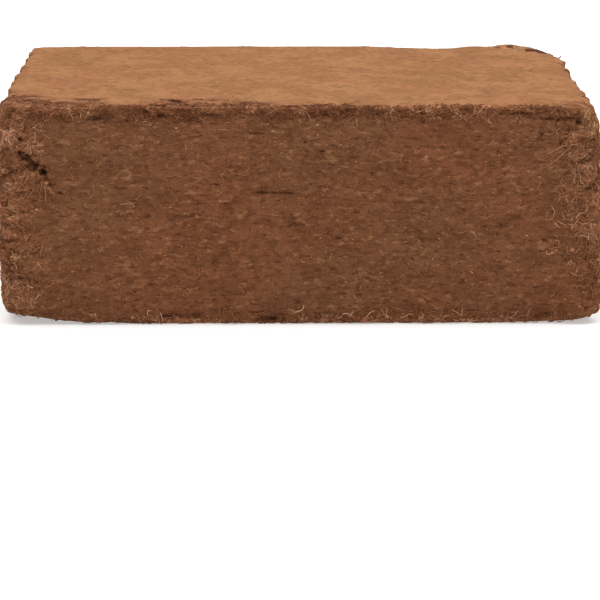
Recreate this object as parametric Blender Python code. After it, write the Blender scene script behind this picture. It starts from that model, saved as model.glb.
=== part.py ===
"""A pressed bale of coconut coir, as one faceted solid.

The block is pressed between two flat platens, so its top and bottom are flat,
and its four sides show the pressed layers. The corners and edges have crumbled.
Metres, +Z up and along the press. The origin is under the middle of the bale,
on the surface that it rests on. -Y is the front.
"""

import math
from typing import NamedTuple

import bmesh
import bpy
from mathutils import Vector, noise

# Driving dimensions of the pressed block
WIDTH = 0.300
DEPTH = 0.300
HEIGHT = 0.110

# Surface grid: close rows beside every edge, even cells between them
EDGE_ROWS = (0.0022, 0.006, 0.0115)
UPRIGHT_EDGE_ROWS = (0.0016, 0.0045, 0.009)
SIDE_CELL = 0.0074
UPRIGHT_CELL = 0.0077


class Corner(NamedTuple):
    """Wear of one upright corner of the block."""

    plan_radius: float
    top_droop: float
    droop_reach: float
    bottom_lift: float
    # How much the rounding of the top and the bottom edge grows towards the corner
    top_growth: float
    bottom_growth: float


# The four corners, keyed by the signs of x and y there
CORNERS = {
    (-1, -1): Corner(0.0100, 0.0004, 0.036, 0.0044, 0.8, 2.0),
    (1, -1): Corner(0.0120, 0.0018, 0.036, 0.0012, 0.8, 0.4),
    (1, 1): Corner(0.0110, 0.0048, 0.044, 0.0034, 1.6, 2.0),
    (-1, 1): Corner(0.0085, 0.0002, 0.036, 0.0030, 0.5, 2.0),
}
LIFT_REACH = 0.050

# Rounding of the long edges
TOP_EDGE_RADIUS = 0.0020
BOTTOM_EDGE_RADIUS = 0.0036
CORNER_REACH = 0.026
EDGE_WEAR = 0.4


class Relief(NamedTuple):
    """A field of bumps: how far it goes in and out, how wide, and its seed."""

    height: float
    size: float
    seed: float


# Relief of the four sides
BULGE = 0.0010
SWELL = Relief(0.0012, 0.070, 1.0)
LUMPS = Relief(0.0009, 0.017, 2.0)
LAYERS = Relief(0.0008, 0.011, 5.0)
LAYER_WANDER = Relief(0.0050, 0.110, 3.0)
CORNER_LUMPS = Relief(0.0013, 0.016, 6.0)
CORNER_STRIP = 0.024
CRUMBLE = Relief(0.0026, 0.012, 7.0)
CRUMBLE_BIAS = 0.45
CRUMBLE_REACH = 0.015
UNDERCUT = Relief(0.0012, 0.035, 4.0)
UNDERCUT_LEVEL = HEIGHT - 0.0055
UNDERCUT_REACH = 0.0055


class Patch(NamedTuple):
    """A shallow hollow or a low swelling of a side, by its middle and half sizes."""

    place: tuple
    half_length: float
    half_height: float
    rise: float


# Hollows where coir has come off a side, by their depth
CHIPS = (
    Patch((-0.141, -0.150, 0.0805), 0.010, 0.0065, 0.0042),
    Patch((-0.147, -0.128, 0.0300), 0.012, 0.0080, 0.0030),
    Patch((0.139, -0.150, 0.1025), 0.016, 0.0050, 0.0030),
    Patch((-0.058, -0.150, 0.0050), 0.015, 0.0050, 0.0024),
    Patch((-0.014, -0.150, 0.0040), 0.024, 0.0045, 0.0028),
    Patch((0.1245, -0.150, 0.0035), 0.013, 0.0045, 0.0034),
    Patch((-0.150, 0.045, 0.1030), 0.017, 0.0065, 0.0034),
    Patch((0.150, -0.060, 0.0065), 0.020, 0.0070, 0.0036),
    Patch((0.150, 0.112, 0.0900), 0.016, 0.0100, 0.0036),
    Patch((0.052, 0.150, 0.1030), 0.021, 0.0065, 0.0036),
    Patch((-0.096, 0.150, 0.0080), 0.018, 0.0080, 0.0034),
    Patch((0.020, 0.150, 0.0480), 0.022, 0.0060, 0.0016),
)
# Swellings where loosened coir stands out, by their height
SWELLINGS = (
    Patch((0.150, 0.068, 0.1060), 0.034, 0.0160, 0.0022),
    Patch((0.150, 0.030, 0.1060), 0.036, 0.0160, 0.0026),
    Patch((0.150, -0.146, 0.0990), 0.020, 0.0120, 0.0020),
    Patch((0.150, -0.146, 0.0090), 0.024, 0.0150, 0.0036),
    Patch((-0.150, -0.112, 0.1050), 0.040, 0.0120, 0.0016),
    Patch((-0.150, -0.050, 0.1060), 0.070, 0.0130, 0.0018),
)
# Sag of the top along its rear edge
SAG = Patch((0.074, 0.150, HEIGHT), 0.036, 0.016, 0.0014)

ON_FACE = 1e-6
FLAT_ANGLE = math.radians(0.01)
SHARP_ANGLE = math.radians(38)
COIR_BROWN = (0.18, 0.078, 0.038, 1.0)
COIR_ROUGHNESS = 0.92


def clear_scene():
    """Removes every object that the startup scene holds."""
    for old in list(bpy.data.objects):
        bpy.data.objects.remove(old)


def make_collection(name):
    """A collection in the scene to hold the bale."""
    collection = bpy.data.collections.new(name)
    bpy.context.scene.collection.children.link(collection)
    return collection


def coir_material():
    """Dry pressed coir: dull, dark reddish brown."""
    material = bpy.data.materials.new("pressed_coir")
    material.use_nodes = True
    shader = material.node_tree.nodes["Principled BSDF"]
    shader.inputs["Base Color"].default_value = COIR_BROWN
    shader.inputs["Roughness"].default_value = COIR_ROUGHNESS
    shader.inputs["Metallic"].default_value = 0.0
    return material


def cuts(length, edge_rows, cell):
    """Places of the cuts across one side of the block, counted from its middle."""
    half = length / 2
    inner = half - edge_rows[-1]
    count = round(2 * inner / cell)
    even = [-inner + 2 * inner * i / count for i in range(count + 1)]
    near = [half - row for row in edge_rows[:-1]]
    return sorted([-place for place in near] + even + near)


def gridded_block():
    """A block with its base at z = 0 and every face cut into the surface grid."""
    mesh = bmesh.new()
    bmesh.ops.create_cube(mesh, size=1.0)
    bmesh.ops.scale(mesh, vec=(WIDTH, DEPTH, HEIGHT), verts=mesh.verts)
    plan = (
        (Vector((1, 0, 0)), cuts(WIDTH, EDGE_ROWS, SIDE_CELL)),
        (Vector((0, 1, 0)), cuts(DEPTH, EDGE_ROWS, SIDE_CELL)),
        (Vector((0, 0, 1)), cuts(HEIGHT, UPRIGHT_EDGE_ROWS, UPRIGHT_CELL)),
    )
    for normal, places in plan:
        for place in places:
            everything = mesh.verts[:] + mesh.edges[:] + mesh.faces[:]
            bmesh.ops.bisect_plane(
                mesh, geom=everything, plane_co=normal * place, plane_no=normal
            )
    bmesh.ops.translate(mesh, vec=(0, 0, HEIGHT / 2), verts=mesh.verts)
    return mesh


def fade(distance, reach):
    """1 at no distance, falling smoothly to 0 at reach."""
    share = min(max(1 - distance / reach, 0.0), 1.0)
    return share * share * (3 - 2 * share)


def ripple(point, relief):
    """The relief's smooth noise at a point, from -1 to 1."""
    offset = Vector((relief.seed, -relief.seed, 2 * relief.seed))
    return noise.noise(Vector(point) / relief.size + offset)


def nearest_corner(point):
    """The wear of the upright corner nearest the point."""
    return CORNERS[(1 if point.x >= 0 else -1, 1 if point.y >= 0 else -1)]


def inset_from_sides(point):
    """How far the point lies inside the nearest of the block's four sides."""
    return max(min(WIDTH / 2 - abs(point.x), DEPTH / 2 - abs(point.y)), 0.0)


def distance_to_corner(point):
    """Plan distance to the nearest sharp upright corner of the block."""
    return math.hypot(WIDTH / 2 - abs(point.x), DEPTH / 2 - abs(point.y))


def spine(point):
    """The point inside the bale that this point's outward direction starts from."""
    radius = nearest_corner(point).plan_radius
    inner_x = min(abs(point.x), WIDTH / 2 - radius)
    inner_y = min(abs(point.y), DEPTH / 2 - radius)
    x = math.copysign(inner_x, point.x)
    y = math.copysign(inner_y, point.y)
    return Vector((x, y, point.z))


def rounded_in_plan(point):
    """The point moved so that the upright corners become round."""
    arm = point - spine(point)
    if abs(arm.x) < ON_FACE or abs(arm.y) < ON_FACE:
        return point.copy()
    return spine(point) + arm.normalized() * max(abs(arm.x), abs(arm.y))


def edge_radius(point):
    """Radius of the long edge beside the point, larger near the block's corners."""
    base = TOP_EDGE_RADIUS if point.z > HEIGHT / 2 else BOTTOM_EDGE_RADIUS
    corner = nearest_corner(point)
    growth = corner.top_growth if point.z > HEIGHT / 2 else corner.bottom_growth
    near = fade(distance_to_corner(point), CORNER_REACH)
    return base * (1 + growth * near) * (1 + EDGE_WEAR * ripple(point, SWELL))


def edge_shift(point):
    """How far rounding the long edges moves a point outward, and towards the platen."""
    radius = edge_radius(point)
    across = radius - inset_from_sides(point)
    along = radius - max(min(point.z, HEIGHT - point.z), 0.0)
    if across <= 0 or along <= 0:
        return 0.0, 0.0
    keep = radius / math.hypot(across, along) - 1
    return across * keep, along * keep


def platen_droop(point):
    """How far the top falls, or the bottom rises, near the corners and at the sag."""
    corner = nearest_corner(point)
    distance = distance_to_corner(point)
    aside = (point.x - SAG.place[0]) / SAG.half_length
    behind = (point.y - SAG.place[1]) / SAG.half_height
    sag = SAG.rise * fade(math.hypot(aside, behind), 1.0)
    top = sag + corner.top_droop * fade(distance, corner.droop_reach)
    bottom = corner.bottom_lift * fade(distance, LIFT_REACH)
    return bottom * (1 - point.z / HEIGHT) - top * point.z / HEIGHT


def layer_steps(point):
    """The pressed layers, which stand in and out and wander a little in height."""
    level = point.z + LAYER_WANDER.height * ripple(point, LAYER_WANDER)
    return noise.noise(Vector((LAYERS.seed, LAYERS.seed, level / LAYERS.size)))


def highest(patches, point):
    """The most that any of the patches rises at a point on a side."""
    rise = 0.0
    for patch in patches:
        x, y, z = patch.place
        aside = math.hypot(point.x - x, point.y - y) / patch.half_length
        above = (point.z - z) / patch.half_height
        rise = max(rise, patch.rise * fade(math.hypot(aside, above), 1.0))
    return rise


def side_relief(point, placed):
    """How far a side stands out from the plain block, or in where below 0.

    The point is on the plain block, and placed is the same point once rounded.
    """
    level = 2 * point.z / HEIGHT - 1
    edge = fade(min(point.z, HEIGHT - point.z), CRUMBLE_REACH)
    corner = fade(distance_to_corner(point), CORNER_STRIP)
    crumbs = max(CRUMBLE_BIAS + ripple(placed, CRUMBLE), 0.0) * max(edge, corner)
    undercut = fade(abs(point.z - UNDERCUT_LEVEL), UNDERCUT_REACH)
    return (
        BULGE * (1 - level * level)
        + SWELL.height * ripple(placed, SWELL)
        + LUMPS.height * ripple(placed, LUMPS)
        + LAYERS.height * layer_steps(placed)
        + CORNER_LUMPS.height * corner * ripple(placed, CORNER_LUMPS)
        - CRUMBLE.height * crumbs
        - UNDERCUT.height * undercut * (1 + ripple(point, UNDERCUT))
        + highest(SWELLINGS, point)
        - highest(CHIPS, point)
    )


def shaped(point):
    """Where a grid point of the plain block goes on the crumbled bale."""
    outward = (rounded_in_plan(point) - spine(point)).normalized()
    across, along = edge_shift(point)
    placed = rounded_in_plan(point) + outward * across
    placed.z += along if point.z > HEIGHT / 2 else -along
    placed.z += platen_droop(point)
    if inset_from_sides(point) < ON_FACE:
        placed += outward * side_relief(point, placed)
    return placed


def fit_to_size(mesh):
    """Scales the bale in plan so that its box is exactly WIDTH by DEPTH."""
    for axis, size in ((0, WIDTH), (1, DEPTH)):
        low = min(vert.co[axis] for vert in mesh.verts)
        high = max(vert.co[axis] for vert in mesh.verts)
        for vert in mesh.verts:
            vert.co[axis] = (vert.co[axis] - (low + high) / 2) * size / (high - low)


def make_bale(collection):
    """The pressed bale: one closed solid with flat platen faces."""
    mesh = gridded_block()
    places = [shaped(vert.co.copy()) for vert in mesh.verts]
    for vert, place in zip(mesh.verts, places):
        vert.co = place
    fit_to_size(mesh)
    bmesh.ops.dissolve_limit(
        mesh, angle_limit=FLAT_ANGLE, verts=mesh.verts, edges=mesh.edges
    )
    bmesh.ops.triangulate(mesh, faces=mesh.faces)
    bmesh.ops.recalc_face_normals(mesh, faces=mesh.faces)
    data = bpy.data.meshes.new("coir_bale")
    mesh.to_mesh(data)
    mesh.free()
    data.materials.append(coir_material())
    data.shade_smooth()
    data.set_sharp_from_angle(angle=SHARP_ANGLE)
    bale = bpy.data.objects.new("coir_bale", data)
    collection.objects.link(bale)
    return bale


def main():
    clear_scene()
    make_bale(make_collection("coconut_coir_bale"))


main()
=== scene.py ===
"""Looks for a pressed bale of coconut coir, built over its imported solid.

The bale is one block of matted coir. Its body is a fine mesh grown from the solid,
with the relief of the pressed layers, the crumbled edges and the hollows. Short
matted fibres, pith crumbs, curled edge fibres and pale husk flecks lie on it as
meshes of their own. Metres, +Z up along the press, -Y the photographed front.
"""

from __future__ import annotations

import logging
import math
from collections.abc import Callable
from dataclasses import dataclass, replace
from enum import Enum
from functools import partial
from itertools import product
from typing import ClassVar

import bpy
import numpy as np
from bpy.types import Material, Mesh, NodeSocket, NodeTree, Object
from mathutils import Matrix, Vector
from mathutils.bvhtree import BVHTree


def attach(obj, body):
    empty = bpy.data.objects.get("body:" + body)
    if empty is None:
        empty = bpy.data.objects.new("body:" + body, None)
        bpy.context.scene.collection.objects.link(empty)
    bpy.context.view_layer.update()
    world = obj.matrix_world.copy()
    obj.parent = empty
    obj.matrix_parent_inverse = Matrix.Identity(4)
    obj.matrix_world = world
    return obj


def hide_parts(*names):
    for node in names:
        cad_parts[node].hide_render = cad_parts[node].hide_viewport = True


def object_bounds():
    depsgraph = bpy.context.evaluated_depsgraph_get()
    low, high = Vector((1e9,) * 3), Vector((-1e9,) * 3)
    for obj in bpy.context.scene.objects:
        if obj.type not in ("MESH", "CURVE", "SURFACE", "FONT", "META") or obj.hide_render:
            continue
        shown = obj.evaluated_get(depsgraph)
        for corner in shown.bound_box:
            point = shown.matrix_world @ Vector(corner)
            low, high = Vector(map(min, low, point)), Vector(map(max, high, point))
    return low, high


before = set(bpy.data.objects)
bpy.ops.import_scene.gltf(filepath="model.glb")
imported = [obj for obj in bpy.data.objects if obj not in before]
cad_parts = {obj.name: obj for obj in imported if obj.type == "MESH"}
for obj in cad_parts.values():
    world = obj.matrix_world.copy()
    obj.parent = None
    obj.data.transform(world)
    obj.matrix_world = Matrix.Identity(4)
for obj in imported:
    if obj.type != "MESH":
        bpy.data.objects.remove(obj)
CAD_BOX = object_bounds()

Array = np.ndarray
LOG = logging.getLogger("coir_bale")
NODE = "coir_bale"
MM = 0.001
HALF = CAD_BOX[1].x
HEIGHT = CAD_BOX[1].z
# How far loose coir may stand over the top, and out past a side
OVER_TOP = 1.2 * MM
PAST_SIDE = 2.4 * MM
# How far back the torn rim of the front reaches, along y
FRONT_RIM = 14 * MM - HALF
# Loose coir has a palette map with a column for each tone
PALETTE_MAP = "OFBake"
PALETTE_COLUMNS = 64
TUBE_SIDES = 3
# Settings of the two kinds of node that every tint is made of
SMOOTH = {"interpolation_type": "SMOOTHSTEP"}
MIXED = {"data_type": "RGBA", "clamp_factor": True}
WHITE = (1.0, 1.0, 1.0, 1.0)


class Side(Enum):
    """The four upright sides of the bale, by their outward direction in plan."""

    FRONT = (0.0, -1.0)
    RIGHT = (1.0, 0.0)
    BACK = (0.0, 1.0)
    LEFT = (-1.0, 0.0)

    @property
    def outward(self) -> Array:
        """The side's outward direction."""
        return np.array([*self.value, 0.0])


class Platen(Enum):
    """The two flat faces that the press leaves, by the sign of their normal."""

    TOP = 1
    BASE = -1


def linear(colour: str) -> tuple[float, float, float, float]:
    """Turns an sRGB hex colour to the linear values that the shader takes.

    Args:
        colour: The colour as "#rrggbb".

    Returns:
        Linear red, green and blue, and an alpha of 1.
    """
    parts = [int(colour[i : i + 2], 16) / 255 for i in (1, 3, 5)]
    low = [p / 12.92 if p <= 0.04045 else ((p + 0.055) / 1.055) ** 2.4 for p in parts]
    return (low[0], low[1], low[2], 1.0)


def fade(distance: Array, reach: float | Array) -> Array:
    """Falls smoothly from 1 at no distance to 0 at reach.

    Args:
        distance: Distances in metres.
        reach: The distance at which nothing is left, in metres, one for all or each.

    Returns:
        The shares, from 0 to 1.
    """
    share = np.clip(1 - distance / reach, 0, 1)
    return share * share * (3 - 2 * share)


def unit(vectors: Array) -> Array:
    """Vectors scaled to length 1 along the last axis."""
    size = np.linalg.norm(vectors, axis=-1, keepdims=True)
    return vectors / np.maximum(size, 1e-12)


@dataclass(frozen=True)
class NoiseField:
    """Smooth noise in space that is the same on every run."""

    cell_mm: tuple[float, float, float]
    seed: int

    def at(self, points: Array) -> Array:
        """Reads the noise.

        Args:
            points: Places in metres, one to a row.

        Returns:
            One value for each place, mostly from -1 to 1.
        """
        rng = np.random.default_rng(self.seed)
        order = np.tile(rng.permutation(256), 2)
        slopes = unit(rng.normal(size=(256, 3)))
        place = points / (np.array(self.cell_mm) * MM) + rng.uniform(0, 99, 3)
        base = np.floor(place).astype(int)
        local = place - base
        ease = local**3 * (local * (local * 6 - 15) + 10)
        total = np.zeros(len(points))
        for corner in product((0, 1), repeat=3):
            x, y, z = ((base + corner) & 255).T
            pick = order[(order[(order[x] + y) & 255] + z) & 255]
            weight = np.prod(np.where(corner, ease, 1 - ease), axis=1)
            total += weight * np.einsum("ij,ij->i", slopes[pick], local - corner)
        return total * 1.6


@dataclass(frozen=True)
class Hollow:
    """A pit or crack in the front, by its middle, size and depth in millimetres.

    Its slope is how much it rises for each millimetre to the right.
    """

    x: float
    z: float
    half_length: float
    half_height: float
    depth: float
    slope: float = 0.0


FRONT_HOLLOWS = tuple(
    Hollow(*row)
    for row in (
        (-144.5, 85.4, 4.5, 1.4, 1.3), (-136.8, 85.0, 4.6, 2.4, 2.0, -0.35),
        (-132.6, 82.0, 8.5, 4.6, 2.3, -0.55), (-131.5, 81.0, 10.0, 6.5, 0.9, -0.5),
        (-131.6, 81.6, 4.2, 1.7, 1.8, -0.62), (-126.6, 78.2, 4.4, 2.2, 2.0, -0.35),
        (-136.2, 80.4, 2.4, 1.4, 1.3), (-143.2, 78.4, 1.6, 2.6, 1.3),
        (-128.9, 72.9, 1.0, 2.0, 1.5), (-125.4, 74.0, 2.4, 1.0, 1.4),
        (-122.6, 72.2, 1.1, 2.2, 1.6), (-138.3, 66.6, 2.8, 1.5, 1.4),
        (-118.5, 66.4, 1.0, 2.6, 1.8), (-135.5, 97.9, 1.8, 2.4, 1.2),
        (-137.6, 94.3, 1.8, 1.0, 1.4), (-118.0, 90.3, 2.5, 0.9, 1.0),
        (-40.5, 71.6, 10.5, 1.0, 1.3), (-13.0, 66.6, 13.0, 1.0, 1.3),
        (-57.0, 54.6, 8.5, 1.0, 1.2), (-1.0, 50.3, 7.0, 1.0, 1.1),
        (-78.0, 87.6, 4.5, 1.2, 1.1), (63.0, 43.0, 6.0, 1.0, 1.0),
        (28.0, 84.0, 5.0, 1.0, 1.0), (110.4, 106.2, 6.0, 0.9, 1.6),
        (122.5, 103.2, 6.5, 1.0, 1.6, -0.1), (131.0, 102.7, 6.5, 1.2, 2.0),
        (135.5, 105.0, 5.0, 0.9, 1.6, 0.3), (139.5, 101.0, 4.0, 2.4, 2.2),
        (120.5, 93.3, 2.4, 0.8, 1.2), (130.5, 91.8, 2.8, 0.9, 1.2),
        (141.5, 82.2, 2.4, 1.3, 1.6), (147.5, 77.0, 1.8, 3.0, 2.0),
        (-53.0, 102.6, 8.0, 1.6, 1.2), (-65.0, 4.0, 6.0, 1.8, 1.2),
        (-14.0, 2.5, 14.0, 2.0, 1.2),
    )
)  # fmt: skip
# Small dark pits in the front, by x and z in millimetres
FRONT_PITS = (
    (12.0, 86.8), (62.2, 101.4), (-130.5, 71.6), (100.9, 49.9), (-52.2, 55.5),
    (122.5, 42.8), (-131.0, 63.0), (-123.0, 70.6), (-12.6, 99.9), (130.5, 91.3),
    (-127.0, 76.7), (-18.6, 66.6), (30.1, 20.1), (120.5, 95.4), (-130.0, 10.5),
    (-74.8, 55.0), (0.0, 11.0), (20.1, 43.8), (61.7, 57.0), (71.8, 88.8),
    (101.9, 82.2), (-90.9, 69.1), (-10.0, 31.7), (3.5, 91.8),
)  # fmt: skip
# Pale flecks of husk in the front, by x and z in millimetres
FRONT_FLECKS = (
    (69.3, 88.3), (-39.2, 62.5), (23.6, 21.6), (-84.8, 57.5), (-89.9, 57.5),
    (-15.1, 101.4), (11.0, 43.8), (10.0, 100.4), (14.0, 90.8), (-12.6, 97.4),
    (86.8, 26.2), (74.3, 74.6), (87.3, 66.1), (113.9, 44.9), (66.8, 33.2),
    (65.8, 78.7), (-58.2, 39.8), (124.0, 56.5), (28.6, 82.2),
)  # fmt: skip


@dataclass(frozen=True)
class Wear:
    """A place where the pressed skin has flaked off, by its middle and size in mm."""

    x: float
    y: float
    half_x: float
    half_y: float
    depth: float
    platen: Platen = Platen.TOP


WORN_SKIN = (
    Wear(-136.5, -147.0, 13.0, 44.0, 0.8),
    Wear(-124.0, -147.0, 26.0, 22.0, 0.9),
    Wear(-105.5, -118.0, 7.0, 5.0, 0.7),
    Wear(-48.0, -151.0, 29.0, 25.0, 2.2),
    Wear(17.0, -152.0, 36.0, 8.5, 0.8),
    Wear(-82.0, -152.0, 12.0, 6.0, 0.7),
    Wear(118.0, -152.0, 20.0, 6.0, 0.7),
    Wear(151.0, -30.0, 4.5, 16.0, 0.7),
    Wear(-152.0, 44.0, 5.5, 20.0, 0.7),
    Wear(-100.0, -151.0, 24.0, 9.0, 0.8, Platen.BASE),
    Wear(70.0, 150.0, 30.0, 10.0, 0.8, Platen.BASE),
    Wear(147.0, 90.0, 10.0, 22.0, 0.8, Platen.BASE),
    Wear(-149.0, 20.0, 8.0, 26.0, 0.8, Platen.BASE),
)


def wrapped_skin(points: Array) -> Array:
    """How much of the skin wraps down over the worn corner at the front right.

    Args:
        points: Places in metres, one to a row.

    Returns:
        Shares from 0 to 1.
    """
    away = np.hypot(points[:, 0] - HALF, 0.45 * (points[:, 1] + HALF))
    near = fade(away, 17 * MM) * fade(HEIGHT - points[:, 2], 34 * MM)
    return np.clip(2.8 * near - 0.25, 0, 1)


def worn_skin(points: Array) -> Array:
    """How deep the skin has flaked off.

    Args:
        points: Places in metres, one to a row.

    Returns:
        Depths in millimetres, 0 where the skin is whole.
    """
    ragged = 0.45 * NoiseField((7, 7, 7), 23).at(points)
    deep = np.zeros(len(points))
    for wear in WORN_SKIN:
        along = np.abs(points[:, 0] / MM - wear.x) / wear.half_x
        across = np.abs(points[:, 1] / MM - wear.y) / wear.half_y
        inward = 1 - (along**3 + across**3) ** (1 / 3) + ragged
        share = np.clip(inward / 0.06, 0, 1)
        level = HEIGHT if wear.platen is Platen.TOP else 0.0
        near = np.abs(points[:, 2] - level) < 14 * MM
        deep = np.maximum(deep, wear.depth * share * near)
    return deep


def skin_rim(points: Array) -> Array:
    """Whether a point lies inside a flaked place of the top, close to the skin behind."""
    behind = worn_skin(points + np.array([0, 6, 0]) * MM) > 0
    return (worn_skin(points) > 0) & ~behind & (points[:, 2] > HEIGHT / 2)


def add_node(
    tree: NodeTree,
    kind: str,
    settings: dict[str, object] | None = None,
    inputs: dict[str | int, object] | None = None,
    output: str | int = 0,
) -> NodeSocket:
    """Adds a shader node with its settings and links.

    Args:
        tree: The tree that gets the node.
        kind: The node's class name without "ShaderNode".
        settings: Properties of the node and their values.
        inputs: Sockets by name or number, each with a value or a socket to link from.
        output: The output that is wanted, by name or number.

    Returns:
        That output's socket.
    """
    node = tree.nodes.new(f"ShaderNode{kind}")
    for name, value in (settings or {}).items():
        setattr(node, name, value)
    for name, value in (inputs or {}).items():
        if isinstance(value, NodeSocket):
            tree.links.new(value, node.inputs[name])
        else:
            node.inputs[name].default_value = value
    return node.outputs[output]


@dataclass(frozen=True)
class Pattern:
    """How much of a tint shows: none below the low value, and all above the high one.

    The values are ones that the mesh stores, by name, or noise whose bumps have a real
    size along x, y and z in millimetres, with octaves of detail and a turn in radians
    about the press axis. Nothing shows where the pattern that spares it is strong.
    """

    source: str | tuple[float, float, float]
    low: float
    high: float
    strength: float = 1.0
    detail: float = 2.0
    turn: float = 0.0
    spared: Pattern | None = None


@dataclass
class ShaderBench:
    """A material under way, which starts as an output without a shader."""

    material: Material

    @classmethod
    def start(cls, name: str) -> ShaderBench:
        """Starts a new material.

        Args:
            name: The material's name.

        Returns:
            Its bench.
        """
        material = bpy.data.materials.new(name)
        material.use_nodes = True
        nodes = material.node_tree.nodes
        nodes.remove(nodes["Principled BSDF"])
        return cls(material)

    @property
    def tree(self) -> NodeTree:
        """The material's node tree."""
        return self.material.node_tree

    def grain(
        self, cell_mm: tuple[float, float, float], detail: float = 2.0, turn: float = 0.0
    ) -> NodeSocket:
        """Noise on Object coordinates whose bumps have a real size.

        Args:
            cell_mm: The size of a bump along x, y and z.
            detail: Octaves of finer noise.
            turn: Turn of the pattern about the press axis, in radians.

        Returns:
            The noise, about 0.5 on average.
        """
        spots = {
            "Vector": add_node(self.tree, "TexCoord", output="Object"),
            "Rotation": (0.0, 0.0, turn),
            "Scale": tuple(c * MM for c in cell_mm),
        }
        where = add_node(self.tree, "Mapping", {"vector_type": "TEXTURE"}, spots)
        noise = {"Vector": where, "Scale": 1.0, "Detail": detail}
        return add_node(self.tree, "TexNoise", inputs=noise, output="Fac")

    def share(self, pattern: Pattern) -> NodeSocket:
        """Builds the nodes of a pattern.

        Args:
            pattern: The pattern.

        Returns:
            A share from 0 to the pattern's strength.
        """
        if isinstance(pattern.source, str):
            name = {"attribute_name": pattern.source}
            value = add_node(self.tree, "Attribute", name, output="Fac")
        else:
            value = self.grain(pattern.source, pattern.detail, pattern.turn)
        ends = {1: pattern.low, 2: pattern.high, 3: 0.0, 4: pattern.strength}
        share = add_node(self.tree, "MapRange", SMOOTH, {"Value": value, **ends})
        if pattern.spared:
            rest = {0: 1.0, 1: self.share(pattern.spared)}
            rest = add_node(self.tree, "Math", {"operation": "SUBTRACT"}, rest)
            both = {0: share, 1: rest}
            share = add_node(self.tree, "Math", {"operation": "MULTIPLY"}, both)
        return share

    def lay(
        self, colour: str | NodeSocket, *tints: tuple[str | NodeSocket, Pattern]
    ) -> NodeSocket:
        """Lays tints over a colour, one after the other.

        Args:
            colour: What lies below, as a hex value or a socket.
            *tints: A colour and a pattern each, from the lowest up.

        Returns:
            The colour that shows in the end.
        """
        for tint, pattern in tints:
            below, above = (linear(c) if isinstance(c, str) else c for c in (colour, tint))
            mixed = {0: self.share(pattern), 6: below, 7: above}
            colour = add_node(self.tree, "Mix", MIXED, mixed, 2)
        return colour

    def finish(self, **inputs: object) -> Material:
        """Joins the parts to a Principled shader.

        Args:
            **inputs: The shader's sockets, with "_" for a space, each with a value
                or a socket to link from.

        Returns:
            The finished material.
        """
        named = {name.replace("_", " "): value for name, value in inputs.items()}
        shader = add_node(self.tree, "BsdfPrincipled", inputs=named)
        output = self.tree.nodes["Material Output"]
        self.tree.links.new(shader, output.inputs["Surface"])
        return self.material


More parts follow.
